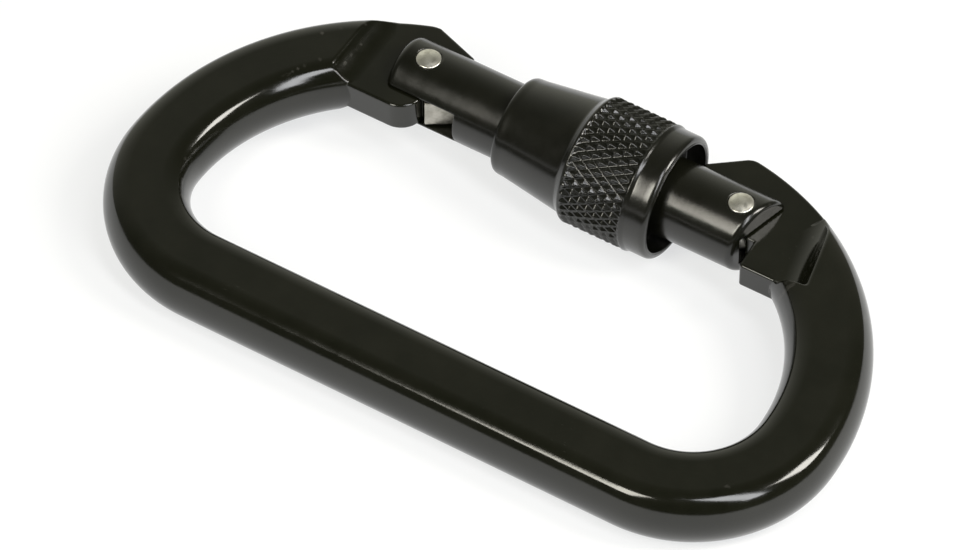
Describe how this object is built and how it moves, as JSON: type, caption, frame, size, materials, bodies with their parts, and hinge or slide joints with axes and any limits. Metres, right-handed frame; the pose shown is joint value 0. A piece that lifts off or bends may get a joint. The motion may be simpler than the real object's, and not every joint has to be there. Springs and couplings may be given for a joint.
{
  "type": "locking carabiner",
  "caption": "D-shaped locking carabiner with a sprung inward-opening gate and a knurled screw sleeve that locks over the nose.",
  "frame": {"origin": "centre of the whole object's bounding box, on the mid-plane of the frame", "axes": "+X along the spine from the hinge end to the nose end, +Y from the spine to the gate, +Z square to the flat faces"},
  "size_m": [0.112, 0.062, 0.0188],
  "materials": {
    "black_anodised": "satin black anodised",
    "black_sleeve": "satin black anodised, knurled",
    "bright_rivet": "bare, domed",
    "bare_metal": "bare, stamped",
    "spring_steel": "bright drawn wire",
    "nylon": "natural nylon"
  },
  "bodies": {
    "frame": {"body": "black_anodised"},
    "gate_arm": {"gate": "black_anodised", "hinge_pin": "bright_rivet", "latch_pin": "bright_rivet", "gate_spring": "spring_steel"},
    "pusher": {"spring_pusher": "bare_metal"},
    "ring": {"sleeve_ring": "nylon"},
    "sleeve": {"lock_sleeve": "black_sleeve"}
  },
  "joints": [
    {"name": "gate_hinge", "type": "hinge", "parent": "frame", "child": "gate_arm", "pos_m": [-0.0256, 0.02058, 0], "axis": [0, 0, -1], "range_deg": [0, 25], "stiffness_Nm_per_rad": 0.34, "springref_deg": -42.4},
    {"name": "pusher_slide", "type": "slide", "parent": "gate_arm", "child": "pusher", "axis": [1, 0, 0], "range_m": [0, 0.0019], "deforming": ["gate_spring"]},
    {"name": "sleeve_travel", "type": "slide", "parent": "gate_arm", "child": "ring", "axis": [1, 0, 0], "range_m": [-0.00751, 0.00251]},
    {"name": "sleeve_turn", "type": "hinge", "parent": "ring", "child": "sleeve", "pos_m": [0, 0.02058, 0], "axis": [1, 0, 0], "range_deg": [-1080, 360]}
  ],
  "couplings": [
    {"joint": "pusher_slide", "follows": "gate_hinge", "m_per_rad": 0.0042},
    {"joint": "sleeve_travel", "follows": "sleeve_turn", "m_per_rad": 0.00039789}
  ]
}
